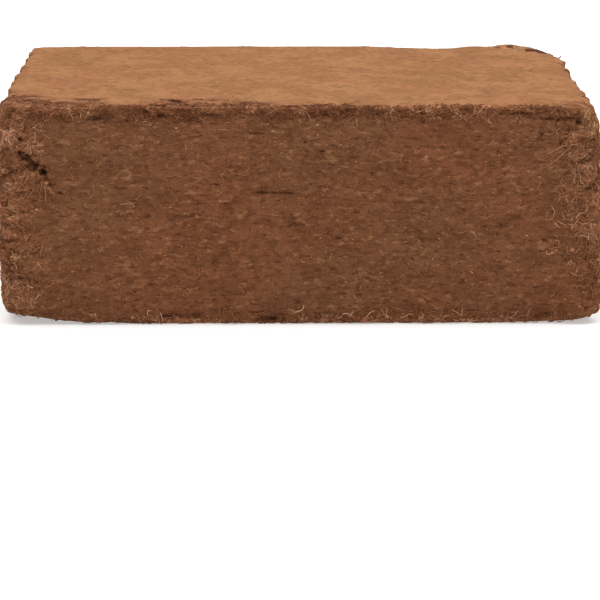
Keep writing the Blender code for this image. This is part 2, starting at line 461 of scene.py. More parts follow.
@dataclass(frozen=True)
class PressedCoir:
    """Coir pressed dry in a box press: matted fibre and pith, dull and porous."""

    # The colour of painted shade in gaps, hollows and fine cracks
    shade: str = "#3d1e0f"
    red: str = "#7a4b31"
    olive: str = "#744c33"
    pale: str = "#a57553"
    grit: str = "#5b351e"
    loosened: str = "#b27e57"
    wrap: str = "#aa815a"
    wrap_line: str = "#7d5638"
    skin: str = "#7f5635"
    skin_pink: str = "#865739"
    skin_light: str = "#976a45"
    skin_grit: str = "#684327"
    roughness: float = 0.93
    specular: float = 0.1
    bump: float = 0.9
    # How much of the bump the press has flattened in the skin
    flattened: float = 0.85

    def sides(self, bench: ShaderBench) -> NodeSocket:
        """Colours of the sides: red and olive patches, painted shade in gaps, paler fibre.

        Args:
            bench: The material under way.

        Returns:
            The colours.
        """
        caught = Pattern((1.8, 1.8, 1.1), 0.44, 0.62, 0.45)
        coir = bench.lay(
            self.red,
            (self.olive, Pattern((80, 80, 60), 0.36, 0.64, detail=1.0)),
            (self.grit, Pattern((30, 30, 14), 0.44, 0.58, 0.35)),
            (self.loosened, Pattern("loose", 0.05, 0.8, 0.8)),
            # Coir lies level in the press, so its grain is about twice as long as high
            (self.grit, Pattern((4.0, 4.0, 2.1), 0.50, 0.63, 0.66)),
            (self.pale, Pattern((4.6, 4.6, 2.0), 0.56, 0.71, 0.44)),
            # Painted shade of fine cracks that are too thin for the mesh
            (self.shade, Pattern((6.5, 6.5, 1.8), 0.61, 0.71, 0.66, detail=1.0)),
            # Pith and dust, by their coarsest grains, since finer ones don't show
            (self.grit, Pattern((0.9, 0.9, 0.7), 0.55, 0.68, 0.3, detail=1.0)),
            (self.pale, Pattern((0.8, 0.8, 0.8), 0.60, 0.72, 0.3, detail=1.0)),
            # Painted shade in the gaps and hollows that the mesh stores, though bits of coir
            # inside a hollow still catch the light
            (self.shade, Pattern("hollow", 0.30, 1.2, 0.92, spared=caught)),
        )
        # The tan skin that wraps down over one corner is drawn out into fibres
        lines = Pattern((1.0, 1.0, 6.0), 0.45, 0.62, 0.8)
        wrap = bench.lay(self.wrap, (self.wrap_line, lines))
        return bench.lay(coir, (wrap, Pattern("wrapped", 0.25, 0.7, 0.9)))

    def platens(self, bench: ShaderBench) -> NodeSocket:
        """Colours of the pressed faces: smooth tan with faint flecks and clouds.

        Args:
            bench: The material under way.

        Returns:
            The colours.
        """
        return bench.lay(
            self.skin,
            (self.skin_pink, Pattern((24, 24, 24), 0.38, 0.62)),
            (self.skin_light, Pattern((17, 28, 17), 0.44, 0.62, 0.6)),
            (self.skin_grit, Pattern((3.8, 9, 3.8), 0.54, 0.68, 0.6)),
            (self.skin_light, Pattern((3.4, 8, 3.4), 0.54, 0.68, 0.6, turn=0.3)),
            # Pith grains and cut fibre ends, pressed level with the skin
            (self.skin_grit, Pattern((0.9, 1.1, 0.9), 0.50, 0.62, 0.3, detail=1.0)),
            (self.skin_light, Pattern((1.1, 1.0, 1.0), 0.54, 0.66, 0.35, detail=1.0, turn=0.5)),
        )

    def material(self) -> Material:
        """Makes the finish of the bale's body.

        Returns:
            The material.
        """
        bench = ShaderBench.start("pressed_coir_mat")
        tree = bench.tree
        skin = add_node(tree, "Attribute", {"attribute_name": "skin"}, output="Fac")
        faces = {0: skin, 6: self.sides(bench), 7: self.platens(bench)}
        rough = {0: bench.grain((2.0, 2.0, 1.1), 3.0), 1: bench.grain((4.0, 4.0, 1.6))}
        rough = add_node(tree, "Math", {"operation": "ADD"}, rough)
        calm = {0: skin, 1: -self.flattened, 2: 1.0}
        calm = add_node(tree, "Math", {"operation": "MULTIPLY_ADD"}, calm)
        height = add_node(tree, "Math", {"operation": "MULTIPLY"}, {0: rough, 1: calm})
        bump = {"Height": height, "Strength": self.bump, "Distance": MM}
        return bench.finish(
            Base_Color=add_node(tree, "Mix", MIXED, faces, 2),
            Roughness=self.roughness,
            Specular_IOR_Level=self.specular,
            Normal=add_node(tree, "Bump", inputs=bump),
        )


@dataclass(frozen=True)
class LooseCoir:
    """Loose dry coir, a little less dull: fibres and crumbs, each of one tone."""

    name: str
    stops: tuple[tuple[float, str], ...]
    roughness: float = 0.85
    specular: float = 0.12

    def material(self) -> Material:
        """Makes the finish. The palette map's first number picks the tone.

        Returns:
            The material.
        """
        bench = ShaderBench.start(self.name)
        where = add_node(bench.tree, "UVMap", {"uv_map": PALETTE_MAP})
        across = add_node(bench.tree, "SeparateXYZ", inputs={0: where})
        colour = add_node(bench.tree, "ValToRGB", inputs={0: across})
        ramp = colour.node.color_ramp.elements
        for place, _ in self.stops[1:-1]:
            ramp.new(place)
        for stop, (place, tone) in zip(ramp, self.stops):
            stop.position, stop.color = place, linear(tone)
        return bench.finish(
            Base_Color=colour,
            Roughness=self.roughness,
            Specular_IOR_Level=self.specular,
        )


SIDE_STOPS = (
    (0.0, "#3d200f"),
    (0.3, "#673d25"),
    (0.55, "#875739"),
    (0.75, "#a46f4e"),
    (0.92, "#c0916f"),
    (1.0, "#e0bea4"),
)
SKIN_STOPS = ((0.0, "#5c3e26"), (0.5, "#7c5737"), (1.0, "#a37b57"))
TORN_STOPS = ((0.0, "#3a2115"), (0.4, "#6b452c"), (0.75, "#a87a54"), (1.0, "#c29a70"))


def deselect_all() -> None:
    """Clears the selection, because operators act on all that is selected."""
    if bpy.context.object and bpy.context.object.mode != "OBJECT":
        bpy.ops.object.mode_set(mode="OBJECT")
    bpy.ops.object.select_all(action="DESELECT")


def use_only(piece: Object) -> None:
    """Makes one object the only selected one, and active."""
    deselect_all()
    piece.select_set(True)
    bpy.context.view_layer.objects.active = piece


def apply_modifier(piece: Object, kind: str, **settings: object) -> None:
    """Adds a modifier to an object and applies it.

    Args:
        piece: The object to change.
        kind: Blender's name for the modifier's kind.
        **settings: The modifier's properties.
    """
    use_only(piece)
    modifier = piece.modifiers.new(kind.lower(), kind)
    for name, value in settings.items():
        setattr(modifier, name, value)
    bpy.ops.object.modifier_apply(modifier=modifier.name)


def points_of(mesh: Mesh, normals: bool = False) -> Array:
    """Reads the points of a mesh.

    Args:
        mesh: The mesh.
        normals: Whether their normals are wanted in place of the points.

    Returns:
        Points in metres, or normals, one to a row.
    """
    flat = np.empty(len(mesh.vertices) * 3, dtype=np.float32)
    if normals:
        mesh.vertex_normals.foreach_get("vector", flat)
    else:
        mesh.vertices.foreach_get("co", flat)
    return flat.reshape(-1, 3).astype(float)


def rim_shares(points: Array) -> tuple[Array, Array, Array]:
    """How near points are to the bale's rims.

    Args:
        points: Places in metres, one to a row.

    Returns:
        Shares from 0 to 1 for the top edge, the bottom edge and the upright corners.
    """
    gap = HALF - np.abs(points[:, :2])
    corner = fade(np.hypot(gap[:, 0], gap[:, 1]), 24 * MM)
    return fade(HEIGHT - points[:, 2], 9 * MM), fade(points[:, 2], 8 * MM), corner


def from_front_right(points: Array) -> Array:
    """Distances in plan from the front right corner, in metres."""
    return np.hypot(points[:, 0] - HALF, points[:, 1] + HALF)


def loosened_corner(points: Array) -> Array:
    """How loose the coir is beside the upright corners, raggedly.

    Args:
        points: Places in metres, one to a row.

    Returns:
        Shares from 0 to 1.
    """
    gap = HALF - np.abs(points[:, :2])
    away = np.hypot(gap[:, 0], gap[:, 1])
    # The front right corner is firmer, and wholly so in its lower half
    beside = fade(from_front_right(points), 60 * MM)
    reach = (25 - 6 * beside + 16 * NoiseField((17, 17, 12), 30).at(points)) * MM
    firm = beside * np.clip((54 * MM - points[:, 2]) / (16 * MM), 0, 1)
    return fade(away, np.clip(reach, 12 * MM, 33 * MM)) * (1 - 0.85 * firm)


@dataclass
class BaleBody:
    """The block itself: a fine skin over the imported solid, with its relief."""

    finish: PressedCoir
    voxel: float = 1.35 * MM
    smooth_rounds: int = 3
    # Inside this edge the pressed faces keep only a share of their points
    fine_edge: float = 9 * MM
    flat_share: float = 0.08
    band_level: float = HEIGHT - 4.0 * MM
    band_reach: float = 4.8 * MM
    # A normal that rises this far ends the sides' relief, which fades over the span
    rise_end: float = 0.85
    rise_span: float = 0.45
    # Heights of the relief and depths of its gaps, in millimetres
    strata: float = 0.25
    lump: float = 0.22
    grain: float = 0.22
    crack: float = 2.4
    crevice: float = 2.7
    seam: float = 1.3
    pit: float = 1.7
    # A gap of this depth is painted wholly in shade
    full_shade_depth: float = 1.7
    swell_mm: float = 0.5
    # Loose coir makes the upright corners stand out, here by their signs in x and y
    corner_swell_mm: tuple[tuple[float, float, float], ...] = (
        (1.0, -1.0, 2.0),
        (-1.0, -1.0, 0.9),
        (1.0, 1.0, 0.6),
        (-1.0, 1.0, 0.8),
    )
    # Places where the top sags: x, y, reach and depth in millimetres
    sags: tuple[tuple[float, float, float, float], ...] = (
        (143.0, 118.0, 28.0, 1.0),
        (85.0, 148.0, 21.0, 1.2),
    )
    # Lumps under the top edge and at one corner: place, reach and height in millimetres
    lumps: tuple[tuple[float, float, float, float, float], ...] = (
        (-149.0, 144.0, 107.0, 26.0, 1.6),
        (-150.0, 6.0, 106.5, 11.0, 1.7),
        (-150.0, 40.0, 106.5, 22.0, 1.0),
        (-150.0, -112.0, 106.5, 14.0, 1.2),
        (150.0, 66.0, 106.5, 30.0, 1.7),
        (150.0, 14.0, 106.5, 38.0, 1.4),
        (150.0, -138.0, 38.0, 38.0, 2.0),
    )

    def build(self) -> Object:
        """Builds the body.

        Returns:
            The finished object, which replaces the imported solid.
        """
        piece = self.fine_copy()
        self.thin_platens(piece)
        self.carve(piece)
        piece.data.shade_smooth()
        piece.data.materials.clear()
        piece.data.materials.append(self.finish.material())
        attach(piece, "root")
        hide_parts(NODE)
        return piece

    def fine_copy(self) -> Object:
        """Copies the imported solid, merged, remeshed finely and softened.

        Returns:
            The copy.
        """
        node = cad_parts[NODE]
        piece = bpy.data.objects.new("coir_block", node.data.copy())
        bpy.context.scene.collection.objects.link(piece)
        use_only(piece)
        bpy.ops.object.mode_set(mode="EDIT")
        bpy.ops.mesh.select_all(action="SELECT")
        bpy.ops.mesh.remove_doubles(threshold=0.01 * MM)
        bpy.ops.object.mode_set(mode="OBJECT")
        apply_modifier(piece, "REMESH", mode="VOXEL", voxel_size=self.voxel)
        apply_modifier(piece, "SMOOTH", factor=0.5, iterations=self.smooth_rounds)
        return piece

    def thin_platens(self, piece: Object) -> None:
        """Leaves the flat pressed faces fewer points, away from the edges.

        Args:
            piece: The block.
        """
        use_only(piece)
        mesh = piece.data
        bpy.ops.object.mode_set(mode="EDIT")
        bpy.ops.mesh.select_all(action="DESELECT")
        bpy.ops.object.mode_set(mode="OBJECT")
        middles = np.array([face.center[:] for face in mesh.polygons])
        flat = np.abs([face.normal.z for face in mesh.polygons]) > 0.9
        inside = np.abs(middles[:, :2]).max(axis=1) < HALF - self.fine_edge
        whole = worn_skin(middles) == 0
        mesh.polygons.foreach_set("select", inside & whole & flat)
        bpy.ops.object.mode_set(mode="EDIT")
        bpy.ops.mesh.decimate(ratio=self.flat_share)
        bpy.ops.object.mode_set(mode="OBJECT")

    def carve(self, piece: Object) -> None:
        """Moves the points of the sides in and out, and stores what the finish reads.

        Args:
            piece: The block.
        """
        mesh = piece.data
        points = points_of(mesh)
        normals = points_of(mesh, normals=True)
        level = np.clip((self.rise_end - np.abs(normals[:, 2])) / self.rise_span, 0, 1)
        relief = self.side_relief(points)
        relief -= self.hollow_depth(points, normals)
        outward = unit(normals * np.array([1.0, 1.0, 0.15]))
        stand = (relief + self.swell(points)) * level * MM
        moved = points + outward * stand[:, None]
        uneven = np.clip(0.6 + 0.9 * NoiseField((5, 5, 5), 24).at(points), 0.1, 1.4)
        flaked = worn_skin(points) * (1 - level)
        worn = flaked * uneven
        moved[:, 2] -= np.sign(normals[:, 2]) * worn * MM
        for x, y, reach, depth in self.sags:
            away = np.linalg.norm(points - (x * MM, y * MM, HEIGHT), axis=1)
            moved[:, 2] -= depth * MM * fade(away, reach * MM)
        moved[:, 2] = np.clip(moved[:, 2], 0, HEIGHT)
        mesh.vertices.foreach_set("co", moved.astype(np.float32).ravel())
        mesh.update()
        # The "hollow" values are painted shade: in gaps and hollows by their depth, all round a
        # flaked place, and darker where the skin flaked deeper
        gaps = np.clip(-relief / self.full_shade_depth, 0, 1) * level
        # The broken edge of the skin lies in shade all round a flaked place
        step = np.clip(1 - np.abs(flaked - 0.35) / 0.34, 0, 1)
        step = np.maximum(step, skin_rim(points) * (1 - level))
        gaps = np.maximum.reduce([gaps, step, np.clip(worn - 0.35, 0, 0.9)])
        self.store(mesh, "hollow", gaps)
        self.store(mesh, "loose", loosened_corner(points))
        self.store(mesh, "wrapped", wrapped_skin(points) * (normals[:, 0] > 0.2))
        self.store(mesh, "skin", self.skin_share(points, normals))

    def swell(self, points: Array) -> Array:
        """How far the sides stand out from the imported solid.

        Args:
            points: Places on the body, in metres.

        Returns:
            Distances in millimetres.
        """
        total = np.full(len(points), self.swell_mm)
        below = np.clip((HEIGHT - points[:, 2]) / (13 * MM) - 0.25, 0, 1)
        for sign_x, sign_y, extra in self.corner_swell_mm:
            corner = np.array([sign_x, sign_y]) * HALF
            away = np.linalg.norm(points[:, :2] - corner, axis=1)
            total += extra * fade(away, 30 * MM) * below * 1.6
        for *place, reach, extra in self.lumps:
            away = np.linalg.norm(points - np.array(place) * MM, axis=1)
            total += extra * fade(away, reach * MM)
        return total

    def side_relief(self, points: Array) -> Array:
        """How far each point of a side stands out, in millimetres.

        Args:
            points: Places on the body, in metres.

        Returns:
            The relief, below 0 where the side is hollow.
        """
        top, base, corner = rim_shares(points)
        rim = np.maximum(np.maximum(top, base), corner)
        rough = 1 + 1.8 * rim
        strata = NoiseField((24, 24, 2.8), 11).at(points)
        lumps = NoiseField((7, 7, 5), 12).at(points)
        grains = NoiseField((3.4, 3.4, 2.6), 13).at(points)
        cracks = NoiseField((13, 13, 2.6), 14).at(points)
        holes = NoiseField((4.6, 4.6, 3.4), 15).at(points)
        torn = np.clip(0.6 + 1.1 * NoiseField((46, 46, 200), 20).at(points), 0.25, 1.3)
        band = fade(np.abs(points[:, 2] - self.band_level), self.band_reach)
        crevices = np.maximum(NoiseField((5.0, 5.0, 2.8), 21).at(points), 0)
        seams = np.abs(NoiseField((8.5, 8.5, 7.0), 33).at(points)) / 0.17
        seams = np.clip(1 - seams, 0, 1) * loosened_corner(points)
        relief = (
            self.strata * strata
            + self.lump * lumps * rough
            + self.grain * grains * rough
            - self.crack * np.maximum(cracks - 0.46, 0)
            - (2.0 * rim + 1.2 * corner) * np.maximum(holes - 0.10, 0)
            - self.crevice * torn * band * crevices
            - self.seam * seams
        )
        # The platens held the coir, so its relief dies away beside them
        inset = np.minimum(points[:, 2], HEIGHT - points[:, 2]) / MM
        relief *= np.clip(inset / 2.6, 0.25, 1)
        # Under the top edge only the front is torn
        front = np.clip((FRONT_RIM - points[:, 1]) / (6 * MM), 0, 1)
        calm = np.clip((HEIGHT - points[:, 2]) / (16 * MM), 0.12, 1)
        return relief * np.maximum(front, calm)

    def hollow_depth(self, points: Array, normals: Array) -> Array:
        """Depth of the front's named pits and cracks at each point.

        Args:
            points: Places on the body, in metres.
            normals: The normals there.

        Returns:
            Depths in millimetres.
        """
        depth = np.zeros(len(points))
        wander = 0.9 * NoiseField((9, 9, 9), 16).at(points)
        ragged = 0.6 * NoiseField((3, 3, 2.4), 22).at(points)
        for hollow in FRONT_HOLLOWS:
            along = (points[:, 0] / MM - hollow.x) / hollow.half_length
            level = hollow.z + wander + hollow.slope * (points[:, 0] / MM - hollow.x)
            above = (points[:, 2] / MM - level) / hollow.half_height
            away = np.hypot(along, above) + ragged
            depth += hollow.depth * fade(np.maximum(away - 0.3, 0), 0.7)
        for x, z in FRONT_PITS:
            away = np.hypot(points[:, 0] / MM - x, 1.6 * (points[:, 2] / MM - z))
            depth += self.pit * fade(away + 0.6 * ragged, 2.3)
        return depth * (normals[:, 1] < -0.3)

    def skin_share(self, points: Array, normals: Array) -> Array:
        """How much of the smooth pressed skin is left at each point.

        Args:
            points: Places on the body, in metres.
            normals: The normals there.

        Returns:
            Shares from 0 to 1.
        """
        ragged = 0.25 * NoiseField((8, 8, 8), 17).at(points)
        front = np.clip((-points[:, 1] - np.abs(points[:, 0])) / (4 * MM), 0, 1)
        turned = np.abs(normals[:, 2]) + ragged - (0.28 + 0.38 * front)
        share = np.clip(turned / 0.14, 0, 1)
        # The skin has flaked off in places along its rim, most of all at the front
        inset = (HALF - np.abs(points[:, :2]).max(axis=1)) / MM
        flaked = (0.5 + 1.7 * front) * NoiseField((6, 6, 6), 18).at(points)
        flaked += 0.7 * front - 0.5
        wide = np.maximum(NoiseField((26, 26, 26), 19).at(points) - 0.1, 0)
        flaked += (0.8 + 2.2 * front) * wide
        share *= np.clip((inset - flaked) / 0.8, 0, 1)
        return share * (1 - np.clip(worn_skin(points) / 0.25, 0, 1))

    @staticmethod
    def store(mesh: Mesh, name: str, values: Array) -> None:
        """Stores one value for each point of the mesh."""
        attribute = mesh.attributes.new(name, "FLOAT", "POINT")
        attribute.data.foreach_set("value", values.astype(np.float32))


@dataclass(frozen=True)
class Spots:
    """Spots on a surface, and how thickly coir of each kind lies on them.

    From `side` on, each method gives every spot a weight for one place on the bale.
    """

    middles: Array
    normals: Array

    def upright(self, limit: float = 0.8) -> Array:
        """Whether each spot faces sideways, by how much its normal may rise."""
        return np.abs(self.normals[:, 2]) < limit

    def unwrapped(self) -> Array:
        """How much of each spot isn't under the skin that wraps down."""
        return 1 - wrapped_skin(self.middles)

    def clumps(
        self, cell: float, seed: int, base: float, gain: float = 1.2, low: float = 0.1
    ) -> Array:
        """Thick and thin patches of loose coir.

        Args:
            cell: The size of a patch in millimetres.
            seed: The seed of its noise.
            base: The weight on average.
            gain: How far the weights stray from it.
            low: The least weight.

        Returns:
            The weights.
        """
        noise = NoiseField((cell, cell, cell), seed).at(self.middles)
        return np.clip(base + gain * noise, low, 1.4)

    def calm(self) -> Array:
        """Less right under the top edge, but for the front, where it is most worn."""
        below = HEIGHT - self.middles[:, 2] - 3 * MM
        calm = np.clip(below / (11 * MM), 0.01, 1)
        return np.where(self.normals[:, 1] < -0.5, 1, calm)

    def near(self, level_mm: float, reach_mm: float) -> Array:
        """How near each spot is to a level, from 0 to 1."""
        return fade(np.abs(self.middles[:, 2] - level_mm * MM), reach_mm * MM)

    def side(self, side: Side) -> Array:
        """One side, and its rounded edges too on the front."""
        upright = self.upright(0.75 if side is Side.FRONT else 0.4)
        return ((self.normals @ side.outward > 0.6) & upright) * self.unwrapped()

    def corners(self) -> Array:
        """The crumbled upright corners, in clumps."""
        clumps = self.clumps(cell=11, seed=25, base=0.7)
        clumps = clumps * self.unwrapped() * self.calm()
        # Few fibres bridge the wide hollow in the front
        aside = (self.middles[:, 0] + 132.5 * MM) / 1.7
        over = self.middles[:, 2] - 82 * MM
        clumps *= 1 - 0.95 * fade(np.hypot(aside, over), 9 * MM)
        return clumps * loosened_corner(self.middles) * self.upright()

    def front_right(self) -> Array:
        """The upper half of the front right corner, where fibres hang loose."""
        clumps = self.clumps(cell=9, seed=31, base=0.6, gain=1.4, low=0.05)
        clumps = clumps * self.unwrapped() * fade(from_front_right(self.middles), 22 * MM)
        return clumps * self.near(level_mm=82, reach_mm=34) * self.upright()

    def wrap(self) -> Array:
        """The skin that wraps down over the front right corner."""
        near = fade(from_front_right(self.middles), 15 * MM)
        return near * self.near(level_mm=97, reach_mm=16) * self.upright()

    def top_rim(self) -> Array:
        """The crumbled band under the top edge, in clumps."""
        clumps = self.clumps(cell=14, seed=26, base=0.6) * self.calm()
        return clumps * rim_shares(self.middles)[0] * self.upright()

    def base_rim(self) -> Array:
        """The crumbled band over the bottom edge."""
        return rim_shares(self.middles)[1] ** 2 * self.upright()

    def rims(self) -> Array:
        """All the crumbled edges and corners of the sides."""
        top, base, _ = rim_shares(self.middles)
        share = top**2 + base**2 + 1.1 * loosened_corner(self.middles)
        return share * self.unwrapped() * self.calm() * self.upright()

    def worn(self) -> Array:
        """The places of the pressed faces whose skin has flaked off."""
        return worn_skin(self.middles) * ~self.upright(0.5)

    def platen(self, platen: Platen) -> Array:
        """One pressed face."""
        return self.normals[:, 2] * platen.value > 0.9

    def flake(self) -> Array:
        """What faces upwards on the flake, short of its dark end of torn coir and painted shade.
        """
        return np.maximum(self.normals[:, 2], 0) * (self.middles[:, 0] < 133 * MM)

    def sides(self) -> Array:
        """All four sides."""
        return self.upright(0.6).astype(float)


# Gives each spot of a surface a weight
Weigh = Callable[[Spots], Array]


@dataclass
class Surface:
    """The finished body as something to lay fibres and crumbs on."""

    corners: Array
    normals: Array
    areas: Array
    gap_shade: Array
    tree: BVHTree

    @classmethod
    def of(cls, piece: Object) -> Surface:
        """Reads the surface of an object whose place is in its mesh.

        Args:
            piece: The finished object, with its "hollow" values, the painted shade of its gaps,
                if it has any.

        Returns:
            The surface. Its areas are less in hollows, so that those stay open.
        """
        mesh = piece.data
        mesh.calc_loop_triangles()
        picks = np.empty(len(mesh.loop_triangles) * 3, dtype=np.int32)
        mesh.loop_triangles.foreach_get("vertices", picks)
        picks = picks.reshape(-1, 3)
        points = points_of(mesh)
        corners = points[picks]
        cross = np.cross(corners[:, 1] - corners[:, 0], corners[:, 2] - corners[:, 0])
        tree = BVHTree.FromPolygons(points.tolist(), picks.tolist())
        hollow = np.zeros(len(points), dtype=np.float32)
        if "hollow" in mesh.attributes:
            mesh.attributes["hollow"].data.foreach_get("value", hollow)
        gap_shade = hollow[picks].mean(axis=1)
        areas = np.linalg.norm(cross, axis=1) / 2 * np.clip(1 - 1.15 * gap_shade, 0.04, 1)
        return cls(corners, unit(cross), areas, gap_shade, tree)

    def scatter(
        self, count: int, weigh: Weigh, rng: np.random.Generator
    ) -> tuple[Array, Array, Array]:
        """Picks places on the surface.

        Args:
            count: How many places.
            weigh: Gives each triangle a weight, as a spot at its middle.
            rng: The source of random numbers.

        Returns:
            The places, the surface normals there, and how bright loose coir is there: random
            patches about 1, made less in a hollow by painted shade.
        """
        weights = self.areas * weigh(Spots(self.corners.mean(axis=1), self.normals))
        picks = rng.choice(len(weights), count, p=weights / weights.sum())
        share = rng.dirichlet((1, 1, 1), count)
        places = np.einsum("ij,ijk->ik", share, self.corners[picks])
        patchy = 1 + 0.45 * NoiseField((6, 6, 4), 32).at(places)
        patchy += 0.22 * NoiseField((30, 30, 13), 34).at(places)
        # Painted shade: loose coir in a hollow is given a darker tone
        return places, self.normals[picks], patchy * (1 - 0.75 * self.gap_shade[picks])

    def level_at(self, x: float, y: float) -> float:
        """Finds the height of the top at a place in plan.

        Args:
            x: The place along x, in metres.
            y: The place along y, in metres.

        Returns:
            The height in metres, and 6 mm under the top where there is no surface.
        """
        reach = HALF - 0.5 * MM
        start = Vector((min(x, reach), min(y, reach), 2 * HEIGHT))
        hit = self.tree.ray_cast(start, Vector((0.0, 0.0, -1.0)))[0]
        return hit.z if hit else HEIGHT - 6 * MM

    def settle(self, places: Array) -> tuple[Array, Array]:
        """Finds the nearest points of the surface.

        Args:
            places: Places in metres, one to a row.

        Returns:
            The points, and the surface normals there.
        """
        found = [self.tree.find_nearest(Vector(place)) for place in places]
        nearest = np.array([hit[0][:] for hit in found])
        return nearest, np.array([hit[1][:] for hit in found])


def palette_column(tones: Array, inside: Array) -> Array:
    """The first number of the palette map.

    Args:
        tones: Tones from 0 to 1.
        inside: Places inside each tone's column, from 0 to 1.

    Returns:
        One number for each tone and place.
    """
    column = np.clip(np.floor(tones * PALETTE_COLUMNS), 0, PALETTE_COLUMNS - 1)
    return (column + 0.2 + 0.6 * inside) / PALETTE_COLUMNS


def dress_loose(piece: Object, palette: Array, finish: Material) -> None:
    """Gives a piece of loose coir its tones, its finish and its place on the bale.

    Args:
        piece: The piece.
        palette: Place on the palette map of each corner of its faces.
        finish: The material.
    """
    mesh = piece.data
    layer = mesh.uv_layers.new(name=PALETTE_MAP)
    layer.uv.foreach_set("vector", palette.astype(np.float32).ravel())
    mesh.shade_smooth()
    mesh.materials.append(finish)
    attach(piece, "root")


@dataclass
class Shapes:
    """Many small shapes that are alike: points, as shapes by points by 3, and more.

    The faces are the triangles of one shape, by the numbers of its points. Inside is
    each point's place in its tone's column of the palette map: across, and along.
    """

    points: Array
    faces: Array
    inside: Array

    @classmethod
    def tubes(cls, paths: Array, radii: Array) -> Shapes:
        """Thin tubes with pointed ends along paths.

        Args:
            paths: Points of every path, as tubes by points by 3.
            radii: Radius of each tube in metres.

        Returns:
            The tubes.
        """
        count, points, _ = paths.shape
        along = unit(np.gradient(paths, axis=1))
        ends = unit(paths[:, -1:] - paths[:, :1] + 1e-4)
        reference = unit(np.cross(along[:, :1], ends))
        straight = np.abs(reference).sum(-1, keepdims=True) < 0.1
        reference = np.where(straight, 1.0, reference)
        aside = unit(np.cross(along, reference + np.array([0.05, 0.11, 0.23])))
        above = np.cross(along, aside)
        around = np.arange(TUBE_SIDES) / TUBE_SIDES
        angle = 2 * math.pi * around
        ring = (
            aside[:, 1:-1, None] * np.cos(angle)[:, None]
            + above[:, 1:-1, None] * np.sin(angle)[:, None]
        )
        rings = paths[:, 1:-1, None] + ring * radii[:, None, None, None]
        body = rings.reshape(count, -1, 3)
        tubes = np.concatenate([paths[:, :1], body, paths[:, -1:]], axis=1)
        last = tubes.shape[1] - 1
        faces = []
        for side in range(TUBE_SIDES):
            after = (side + 1) % TUBE_SIDES
            faces.append((0, 1 + after, 1 + side))
            faces.append((last, last - TUBE_SIDES + side, last - TUBE_SIDES + after))
            for start in range(1, last - TUBE_SIDES, TUBE_SIDES):
                here, beside = start + side, start + after
                faces.append((here, beside, beside + TUBE_SIDES))
                faces.append((here, beside + TUBE_SIDES, here + TUBE_SIDES))
        across = np.concatenate([[0.5], np.tile(around, points - 2), [0.5]])
        rows = np.repeat(np.linspace(0, 1, points)[1:-1], TUBE_SIDES)
        return cls(tubes, np.array(faces), np.c_[across, np.r_[0.0, rows, 1.0]])

    def join(self, name: str, tones: Array, finish: Material) -> Object:
        """Makes one piece of the shapes.

        Args:
            name: The piece's name.
            tones: Tone of each shape, from 0 to 1.
            finish: The material.

        Returns:
            The piece, which rides on the bale.
        """
        shapes, size, _ = self.points.shape
        first = (np.arange(shapes) * size)[:, None, None]
        picks = (self.faces[None] + first).reshape(-1, 3)
        mesh = bpy.data.meshes.new(name)
        mesh.from_pydata(self.points.reshape(-1, 3).tolist(), [], picks.tolist())
        piece = bpy.data.objects.new(name, mesh)
        bpy.context.scene.collection.objects.link(piece)
        column = palette_column(tones[:, None], self.inside[:, 0])
        rows = np.broadcast_to(self.inside[:, 1] * 0.9 + 0.05, column.shape)
        palette = np.stack([column, rows], axis=2).reshape(-1, 2)
        dress_loose(piece, palette[picks.ravel()], finish)
        return piece


@dataclass(frozen=True)
class FibreStyle:
    """How one kind of fibre lies: sizes in millimetres and turns in radians.

    A pair holds the lowest and the highest of what is drawn.
    """

    length: tuple[float, float]
    radius: tuple[float, float]
    tone: tuple[float, float]
    arch: tuple[float, float] = (0.1, 0.8)
    loose: tuple[float, float] = (0.0, 1.4)
    points: int = 5
    slant: float = 1.0
    bend: float = 0.16
    kink: float = 0.20
    steep: float = 0.0


def heading_on(
    normals: Array, slant: float, rng: np.random.Generator, steep: float = 0.0
) -> Array:
    """Directions in the surface, level on a side except for some slant.

    Args:
        normals: Surface normals, one to a row.
        slant: Spread of the directions about their middle, in radians.
        rng: The source of random numbers.
        steep: The middle of the directions, in radians from the level.

    Returns:
        One direction for each normal.
    """
    upright = np.abs(normals[:, 2:]) < 0.8
    other = np.where(upright, [[0.0, 0.0, 1.0]], [[0.0, 1.0, 0.0]])
    level = unit(np.cross(other, normals))
    across = np.cross(normals, level)
    angle = rng.normal(steep, slant, (len(normals), 1))
    angle = angle + math.pi * rng.integers(0, 2, (len(normals), 1))
    return level * np.cos(angle) + across * np.sin(angle)


@dataclass
class LooseLayer:
    """One piece made of many small bits of coir that are alike.

    Each kind adds `tone`, its darkest and palest tone, and `shape`, which makes the bits.
    """

    name: str
    count: int
    weigh: Weigh
    seed: int
    # Weights of the pale and of the dark tones in the draw
    spread: ClassVar[tuple[float, float]]

    def build(self, surface: Surface, finish: Material) -> Object:
        """Lays the bits on the surface and joins them to one piece.

        Args:
            surface: What the bits lie on.
            finish: Their material.

        Returns:
            The finished piece.
        """
        rng = np.random.default_rng(self.seed)
        places, normals, light = self.pick(surface, rng)
        shapes = self.shape(surface, places, normals, rng)
        low, high = self.tone
        tones = low + (high - low) * rng.beta(*self.spread, len(light))
        # The tones carry random patches and the painted shade of hollows
        return shapes.join(self.name, np.minimum(tones * light, high), finish)

    def pick(self, surface: Surface, rng: np.random.Generator) -> tuple[Array, Array, Array]:
        """Picks where the bits lie, by what Surface.scatter gives."""
        return surface.scatter(self.count, self.weigh, rng)


